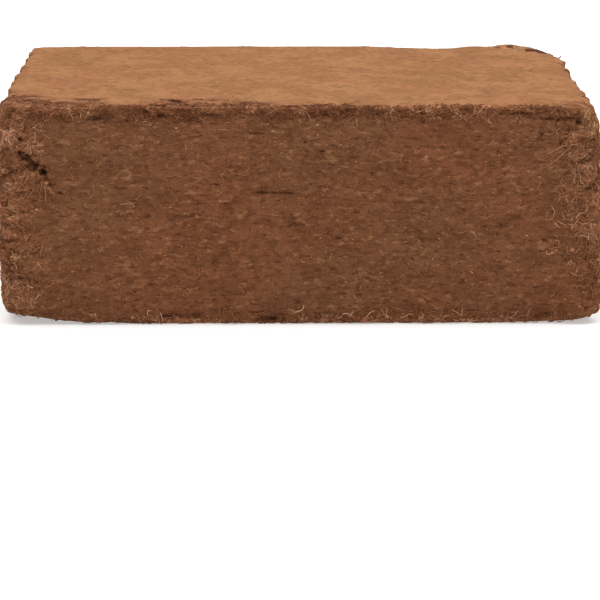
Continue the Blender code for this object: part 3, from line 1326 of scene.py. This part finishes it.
@dataclass
class FibreLayer(LooseLayer):
    """Many fibres of one kind, each a thin closed tube."""

    style: FibreStyle
    sunk: float = 0.12 * MM
    spread = (2.2, 2.6)

    @property
    def tone(self) -> tuple[float, float]:
        """The darkest and the palest tone."""
        return self.style.tone

    def shape(
        self, surface: Surface, places: Array, normals: Array, rng: np.random.Generator
    ) -> Shapes:
        """Grows every fibre step by step along the surface.

        Args:
            surface: What the fibres lie on.
            places: Where each fibre starts.
            normals: The surface normals there.
            rng: The source of random numbers.

        Returns:
            The fibres.
        """
        style = self.style
        count = len(places)
        step = rng.uniform(*style.length, (count, 1)) * MM / (style.points - 1)
        arch = rng.uniform(*style.arch, (count, 1)) * MM
        loose = rng.uniform(*style.loose, (count, 1)) ** 2 * MM
        loose /= max(style.loose[1], 1e-6)
        heading = heading_on(normals, style.slant, rng, style.steep)
        bend = rng.normal(0, style.bend, (count, 1))
        path = []
        for index in range(style.points):
            share = index / (style.points - 1)
            height = arch * math.sin(math.pi * share) + loose * share**2 - self.sunk
            path.append(places + normals * height)
            turn = bend + rng.normal(0, style.kink, (count, 1))
            across = unit(np.cross(normals, heading))
            heading = unit(heading * np.cos(turn) + across * np.sin(turn))
            if index < style.points - 1:
                places, normals = surface.settle(places + heading * step)
                flat = heading - normals * np.sum(heading * normals, axis=1)[:, None]
                heading = unit(flat)
        grown = np.stack(path, axis=1)
        reach = HALF + PAST_SIDE
        grown[..., :2] = np.clip(grown[..., :2], -reach, reach)
        # Only the torn rim at the front stands much over the top
        over = np.where(grown[..., 1] < FRONT_RIM, OVER_TOP, 0.4 * OVER_TOP)
        grown[..., 2] = np.clip(grown[..., 2], 0.25 * MM, HEIGHT + over)
        return Shapes.tubes(grown, rng.uniform(*style.radius, count) * MM)


@dataclass
class CrumbLayer(LooseLayer):
    """Many small lumps of pith or husk, each partly sunk in. Sizes in millimetres."""

    size: tuple[float, float]
    flatness: float
    tone: tuple[float, float]
    stretch: float = 1.7
    sunk: float = 0.35
    spread = (2.2, 2.4)

    def shape(
        self, surface: Surface, places: Array, normals: Array, rng: np.random.Generator
    ) -> Shapes:
        """Shapes every crumb from one lump, uneven, turned and sunk in.

        Args:
            surface: What the crumbs lie on.
            places: Where each crumb lies.
            normals: The surface normals there.
            rng: The source of random numbers.

        Returns:
            The crumbs.
        """
        count = len(places)
        lump, faces = self.plain_lump()
        level = heading_on(normals, 0.5, rng)
        across = np.cross(normals, level)
        least, most = self.size
        radius = rng.triangular(least, least, most, count)[:, None, None] * MM / 2
        uneven = rng.uniform(0.65, 1.25, (count, len(lump), 1))
        local = lump[None] * uneven * radius
        local = local * np.array([self.stretch, 1.0, self.flatness])
        middles = places - normals * radius[:, 0] * self.flatness * self.sunk
        points = (
            middles[:, None]
            + local[..., :1] * level[:, None]
            + local[..., 1:2] * across[:, None]
            + local[..., 2:] * normals[:, None]
        )
        points[..., 2] = np.clip(points[..., 2], 0.0, HEIGHT + OVER_TOP)
        return Shapes(points, faces, (lump[:, :2] + 1) / 2)

    @staticmethod
    def plain_lump() -> tuple[Array, Array]:
        """One lump of radius 1, with 8 faces.

        Returns:
            Its points and its triangles.
        """
        deselect_all()
        bpy.ops.mesh.primitive_cone_add(
            vertices=4, radius1=1.0, depth=1.0, end_fill_type="NOTHING"
        )
        lump = bpy.context.object
        bpy.ops.object.mode_set(mode="EDIT")
        bpy.ops.transform.translate(value=(0.0, 0.0, 0.5))
        bpy.ops.object.mode_set(mode="OBJECT")
        apply_modifier(lump, "MIRROR", use_axis=(False, False, True), merge_threshold=0.01)
        faces = np.array([list(face.vertices) for face in lump.data.polygons])
        points = points_of(lump.data)
        bpy.data.objects.remove(lump)
        return points, faces


@dataclass
class FleckLayer(CrumbLayer):
    """Pale flecks of husk: a few at random, and those that mark the front."""

    def pick(self, surface: Surface, rng: np.random.Generator) -> tuple[Array, Array, Array]:
        """Picks where the flecks lie, as for any crumbs and then the named ones.

        Args:
            surface: What the flecks lie on.
            rng: The source of random numbers.

        Returns:
            The places, the surface normals there, and how bright a fleck is there.
        """
        places, normals, light = super().pick(surface, rng)
        marks = np.array([(x, -HALF / MM, z) for x, z in FRONT_FLECKS]) * MM
        named, facing = surface.settle(marks)
        light = np.concatenate([light, np.ones(len(marks))])
        return np.concatenate([places, named]), np.concatenate([normals, facing]), light


@dataclass
class LiftedFlake:
    """The torn rim that stands up along the top edge, at the rear right corner.

    Places along x, heights and drops are in millimetres in the tables.
    """

    finish: Material
    thickness: float = 0.7 * MM
    sunk: float = 0.25 * MM
    width: float = 7.0 * MM
    tone: float = 0.60
    torn_shade_tone: float = 0.12
    # Places along x, and the height of the flake's crest there
    crest: tuple[tuple[float, float], ...] = (
        (104.0, 108.8), (109.0, 109.3), (113.0, 109.9), (117.5, 110.1),
        (122.0, 110.9), (126.5, 110.9), (131.0, 110.2), (134.7, 109.7),
        (138.1, 109.2), (140.0, 108.5), (143.2, 107.5), (146.2, 106.6),
    )  # fmt: skip
    # The body's own rim there: how far back, and the round of its corner in plan
    rim: float = 145.4 * MM
    rim_round: float = 7.0 * MM
    # Dark lines of torn coir and painted shade under the lifted edge: places along x, how far
    # under the crest, and half the width
    tear_shade_lines: tuple[tuple[tuple[float, ...], tuple[float, ...], float], ...] = (
        ((115.5, 119.5), (1.5, 1.5), 0.3),
        ((123.0, 127.5), (1.3, 1.3), 0.5),
        ((133.5, 136.4, 138.1, 139.8, 149.5), (2.5, 2.0, 2.1, 1.1, 0.8), 0.55),
    )
    # The torn fibres beside it: foot in x and y, height of the tip, and lean
    spurs: tuple[tuple[float, float, float, float], ...] = (
        (147.8, 84.0, 110.6, 2.1),
        (147.8, 86.5, 109.5, 1.2),
    )

    def build(self, surface: Surface) -> Object:
        """Builds the flake from a grid, bent up along its outer edge.

        Args:
            surface: What the flake's hinge lies on.

        Returns:
            The finished piece.
        """
        deselect_all()
        bpy.ops.mesh.primitive_grid_add(x_subdivisions=120, y_subdivisions=14, size=2.0)
        piece = bpy.context.object
        piece.name = "lifted_flake"
        grid = points_of(piece.data)
        along, outward = (grid[:, 0] + 1) / 2, (grid[:, 1] + 1) / 2
        places, heights = np.array(self.crest).T * MM
        x = places[0] + (places[-1] - places[0]) * along
        turned = np.clip(x - (self.rim + MM - self.rim_round), 0, self.rim_round)
        outer = self.rim - self.rim_round + np.sqrt(self.rim_round**2 - turned**2)
        uneven = 1 + 0.35 * NoiseField((5, 40, 40), 29).at(np.c_[x, outer, outer])
        hinge = outer - self.width * uneven * np.sin(math.pi * (0.03 + 0.94 * along)) ** 0.6
        y = hinge + (outer - hinge) * outward
        crest = np.interp(x, places, heights)
        for cell, height in ((5.0, 0.35), (1.6, 0.25)):
            ragged = NoiseField((cell, 40.0, 40.0), 27).at(np.c_[x, y, crest])
            crest += height * MM * ragged
        inner = np.minimum(y, outer - self.thickness)
        ground = np.array([surface.level_at(a, b) for a, b in zip(x, inner)])
        lift = np.maximum(crest - ground, 0) * outward**1.4
        height = ground - self.sunk + lift
        shape = np.c_[x, y, height].astype(np.float32)
        piece.data.vertices.foreach_set("co", shape.ravel())
        piece.data.update()
        apply_modifier(piece, "SOLIDIFY", thickness=self.thickness)
        self.dress(piece)
        return piece

    def spur(self, surface: Surface) -> Object:
        """Two torn fibres that stand up on the right edge, beside the flake.

        Args:
            surface: What they stand on.

        Returns:
            The finished piece.
        """
        paths = []
        rise = np.linspace(0, 1, 5)
        for x, y, tip, lean in self.spurs:
            foot = surface.level_at(x * MM, y * MM) - 0.6 * MM
            plan = np.c_[x + lean * rise, y - 0.4 * rise] * MM
            paths.append(np.c_[plan, foot + (tip * MM - foot) * rise])
        tubes = Shapes.tubes(np.array(paths), np.array([0.36, 0.26]) * MM)
        return tubes.join("edge_spur", np.array([0.30, 0.5]), self.finish)

    def dress(self, piece: Object) -> None:
        """Gives the flake its tones: the skin's own tan, with dark lines of torn coir and
        painted shade.

        Args:
            piece: The flake.
        """
        mesh = piece.data
        mesh.uv_layers.remove(mesh.uv_layers[0])
        points = points_of(mesh)
        middles = np.array([face.center[:] for face in mesh.polygons])
        patches = NoiseField((3, 3, 3), 28).at(middles)
        places, heights = np.array(self.crest).T * MM
        # What lies before the crest counts for a ninth, as in a low view from the front, so that
        # the painted shade lines lie where that view sees the lifted edge
        under = np.interp(middles[:, 0], places, heights) - middles[:, 2]
        under += (self.rim - middles[:, 1]) / 9
        dark = np.zeros(len(middles))
        for line, drops, half_width in self.tear_shade_lines:
            x = middles[:, 0] / MM
            off = under / MM - np.interp(x, line, drops) + 0.3 * patches
            inside = np.clip(np.minimum(x - line[0], line[-1] - x) + 0.5 * patches, 0, 1)
            dark = np.maximum(dark, inside * np.clip(2 - np.abs(off) / half_width, 0, 1))
        # Torn coir and painted shade darken the flake along the tear lines
        tones = self.tone * (1 - dark) + self.torn_shade_tone * dark + 0.08 * patches
        tones = np.repeat(np.clip(tones, 0.05, 0.95), [len(f.vertices) for f in mesh.polygons])
        share = (points - points.min(axis=0)) / np.maximum(np.ptp(points, axis=0), MM)
        share = share[[loop.vertex_index for loop in mesh.loops]]
        palette = np.c_[palette_column(tones, share[:, 0]), share[:, 1]]
        dress_loose(piece, palette, self.finish)


MATTED = FibreStyle(
    length=(2.5, 8.0), radius=(0.11, 0.20), tone=(0.30, 0.64), arch=(0.03, 0.20),
    loose=(0.0, 0.22), points=4, slant=0.75, bend=0.18,
)  # fmt: skip
PALE = FibreStyle(
    length=(2.5, 7.5), radius=(0.11, 0.18), tone=(0.50, 0.88), arch=(0.05, 0.30),
    loose=(0.0, 0.4), points=6, slant=0.8, bend=0.20, kink=0.22,
)  # fmt: skip
CORNER_CURL = FibreStyle(
    length=(2.0, 9.0), radius=(0.09, 0.30), tone=(0.52, 0.95), arch=(0.0, 0.8),
    slant=3.0, kink=0.60,
)  # fmt: skip
WISP = FibreStyle(
    length=(6.0, 16.0), radius=(0.10, 0.20), tone=(0.55, 0.94), loose=(0.0, 1.3),
    points=9, slant=0.7, bend=0.22, kink=0.25, steep=math.radians(70),
)  # fmt: skip
DRAWN = FibreStyle(
    length=(10.0, 30.0), radius=(0.14, 0.26), tone=(0.55, 0.88), arch=(0.1, 0.6),
    loose=(0.0, 1.0), points=9, slant=0.22, bend=0.03, kink=0.09, steep=math.radians(80),
)  # fmt: skip
TOP_CURL = FibreStyle(
    length=(2.0, 7.0), radius=(0.09, 0.27), tone=(0.24, 0.94), arch=(0.0, 0.6),
    loose=(0.0, 0.7), kink=0.50,
)  # fmt: skip
BASE_CURL = FibreStyle(
    length=(3.0, 10.0), radius=(0.12, 0.26), tone=(0.28, 0.95), points=6, kink=0.40
)
STRAY = FibreStyle(
    length=(7.0, 16.0), radius=(0.13, 0.20), tone=(0.5, 0.95), arch=(0.1, 0.7),
    loose=(0.1, 1.6), points=12, slant=0.9, bend=0.20, kink=0.16,
)  # fmt: skip
PRESSED_FLAT = FibreStyle(
    length=(3.0, 11.0), radius=(0.18, 0.36), tone=(0.36, 0.80), arch=(0.0, 0.05),
    loose=(0.0, 0.03), points=4, slant=3.0, bend=0.10,
)  # fmt: skip
FLAKED = replace(TOP_CURL, tone=(0.15, 0.75), loose=(0.0, 0.3), arch=(0.0, 0.4))
FLAKE_THREAD = replace(TOP_CURL, tone=(0.4, 0.8), loose=(0.0, 0.3), arch=(0.0, 0.2))
# The size, flatness and tone of the pith crumbs on the sides
PITH = ((0.6, 1.7), 0.7, (0.16, 0.74))


@dataclass
class LooseCover:
    """All that lies on the block: fibres, crumbs and husk flecks."""

    coir: LooseCoir
    skin: LooseCoir
    torn_skin: LooseCoir
    fibres_a_side: int = 5000
    crumbs_a_side: int = 5200
    fibres_a_platen: int = 1700

    def build(self, surface: Surface) -> list[Object]:
        """Builds every layer.

        Args:
            surface: The block's finished surface.

        Returns:
            The pieces.
        """
        coir, skin = self.coir.material(), self.skin.material()
        torn_skin = self.torn_skin.material()
        loose = self.side_layers() + self.rim_layers()
        made = [layer.build(surface, coir) for layer in loose]
        torn = LiftedFlake(torn_skin)
        flake = torn.build(surface)
        made += [flake, torn.spur(surface)]
        lifted = Surface.of(flake)
        made += [layer.build(lifted, torn_skin) for layer in self.flake_layers()]
        return made + [layer.build(surface, skin) for layer in self.skin_layers()]

    def side_layers(self) -> list[LooseLayer]:
        """What covers the four sides: a fibre and a crumb layer on each.

        Returns:
            The layers.
        """
        made: list[LooseLayer] = []
        for number, side in enumerate(Side):
            word, weigh = side.name.lower(), partial(Spots.side, side=side)
            fibres, crumbs = f"matted_fibres_{word}", f"pith_crumbs_{word}"
            made += [
                FibreLayer(fibres, self.fibres_a_side, weigh, 21 + number, MATTED),
                CrumbLayer(crumbs, self.crumbs_a_side, weigh, 31 + number, *PITH),
            ]
        return made

    def rim_layers(self) -> list[LooseLayer]:
        """What stands on the crumbled corners and edges.

        Returns:
            The layers.
        """
        return [
            FibreLayer("corner_curls", 8400, Spots.corners, 51, CORNER_CURL),
            FibreLayer("corner_wisps", 130, Spots.front_right, 63, WISP),
            FibreLayer("drawn_fibres", 70, Spots.wrap, 64, DRAWN),
            FibreLayer("top_rim_curls", 4200, Spots.top_rim, 52, TOP_CURL),
            FibreLayer("base_rim_curls", 1500, Spots.base_rim, 53, BASE_CURL),
            FibreLayer("stray_fibres", 80, Spots.rims, 54, STRAY),
            FibreLayer("pale_fibres", 1500, Spots.sides, 58, PALE),
            FibreLayer("flaked_fibres", 500, Spots.worn, 59, FLAKED),
            CrumbLayer("rim_crumbs", 16500, Spots.rims, 55, (0.8, 3.2), 0.8, (0.28, 0.82), 1.35),
            CrumbLayer("flaked_crumbs", 1300, Spots.worn, 57, (0.8, 2.2), 0.5, (0.15, 0.8)),
            FleckLayer("husk_flecks", 45, Spots.sides, 56, (0.9, 1.8), 0.3, (0.78, 0.93)),
        ]

    def flake_layers(self) -> list[LooseLayer]:
        """The torn fibres and crumbs that hang on the lifted flake.

        Returns:
            The layers.
        """
        return [
            FibreLayer("flake_fibres", 60, Spots.flake, 61, FLAKE_THREAD),
            CrumbLayer("flake_crumbs", 80, Spots.flake, 62, (0.5, 1.3), 0.5, (0.3, 0.75)),
        ]

    def skin_layers(self) -> list[LooseLayer]:
        """The fibres that lie pressed flat in the top and the base.

        Returns:
            The layers.
        """
        return [
            FibreLayer(
                f"pressed_fibres_{platen.name.lower()}",
                self.fibres_a_platen,
                partial(Spots.platen, platen=platen),
                41 + number,
                PRESSED_FLAT,
            )
            for number, platen in enumerate(Platen)
        ]


@dataclass
class Studio:
    """A pale floor, a wide soft light overhead and an even pale room."""

    floor_size: float = 14.0
    floor_colour: str = "#c2c1bf"
    near_glow: float = 0.42
    far_glow: float = 0.62
    glow_start: float = 0.30
    glow_end: float = 1.1
    light_size: tuple[float, float] = (3.4, 2.2)
    light_place: tuple[float, float, float] = (0.0, -0.15, 1.8)
    light_power: float = 73.0
    room_light: float = 0.5

    def build(self) -> None:
        """Makes the floor, the light and the room."""
        self.lay_floor()
        self.hang_light()
        self.paint_room()

    def lay_floor(self) -> None:
        """Lays the floor, a pale light table that glows more away from the bale."""
        deselect_all()
        bpy.ops.mesh.primitive_plane_add(size=self.floor_size)
        floor = bpy.context.object
        floor.name = "studio_floor"
        bench = ShaderBench.start("light_table_mat")
        where = add_node(bench.tree, "TexCoord", output="Object")
        away = add_node(
            bench.tree, "VectorMath", {"operation": "LENGTH"}, {0: where}, "Value"
        )
        ends = {1: self.glow_start, 2: self.glow_end, 3: self.near_glow, 4: self.far_glow}
        glow = add_node(bench.tree, "MapRange", SMOOTH, {"Value": away, **ends})
        material = bench.finish(
            Base_Color=linear(self.floor_colour),
            Roughness=0.9,
            Specular_IOR_Level=0.1,
            Emission_Color=WHITE,
            Emission_Strength=glow,
        )
        floor.data.materials.append(material)

    def hang_light(self) -> None:
        """Hangs the soft light over the bale."""
        data = bpy.data.lights.new("softbox", "AREA")
        data.shape = "RECTANGLE"
        data.size, data.size_y = self.light_size
        data.energy = self.light_power
        lamp = bpy.data.objects.new("softbox", data)
        lamp.location = self.light_place
        lamp.visible_camera = False
        bpy.context.scene.collection.objects.link(lamp)

    def paint_room(self) -> None:
        """Lights the room evenly. It shows white behind the bale."""
        world = bpy.data.worlds.new("studio_room")
        world.use_nodes = True
        tree = world.node_tree
        ray = add_node(tree, "LightPath", output="Is Camera Ray")
        strength = {"Value": ray, 3: self.room_light, 4: 1.0}
        background = tree.nodes["Background"].inputs
        background["Color"].default_value = WHITE
        tree.links.new(
            add_node(tree, "MapRange", inputs=strength), background["Strength"]
        )
        bpy.context.scene.world = world
        bpy.context.scene.view_settings.view_transform = "Standard"


@dataclass
class FrontCamera:
    """The camera, far off and a little above the bale, as the photograph was taken."""

    focal_px: float = 3827.0
    image_px: float = 600.0
    distance: float = 1.8828
    above_top: float = 0.2195
    aside: float = -0.0288
    tilt: float = math.radians(9.55)
    turn: float = math.radians(0.90)

    def build(self) -> Object:
        """Makes the camera and gives it to the scene.

        Returns:
            The camera.
        """
        data = bpy.data.cameras.new("camera")
        data.sensor_width = 36.0
        data.lens = data.sensor_width * self.focal_px / self.image_px
        data.clip_start, data.clip_end = 0.05, 60.0
        camera = bpy.data.objects.new("camera", data)
        camera.location = (self.aside, -HALF - self.distance, HEIGHT + self.above_top)
        camera.rotation_euler = (math.pi / 2 - self.tilt, 0.0, -self.turn)
        bpy.context.scene.collection.objects.link(camera)
        bpy.context.scene.camera = camera
        return camera


def report(piece: Object) -> None:
    """Logs a piece's name and its number of triangles."""
    piece.data.calc_loop_triangles()
    LOG.info("%s: %d triangles", piece.name, len(piece.data.loop_triangles))


def main() -> None:
    """Builds the studio, the bale and all that lies on it."""
    logging.basicConfig(level=logging.INFO, format="%(message)s")
    FrontCamera().build()
    Studio().build()
    body = BaleBody(PressedCoir()).build()
    report(body)
    cover = LooseCover(
        LooseCoir("loose_coir_mat", SIDE_STOPS),
        LooseCoir("skin_fibre_mat", SKIN_STOPS),
        LooseCoir("torn_skin_mat", TORN_STOPS),
    )
    for piece in cover.build(Surface.of(body)):
        report(piece)
    deselect_all()


if __name__ == "__main__":
    main()
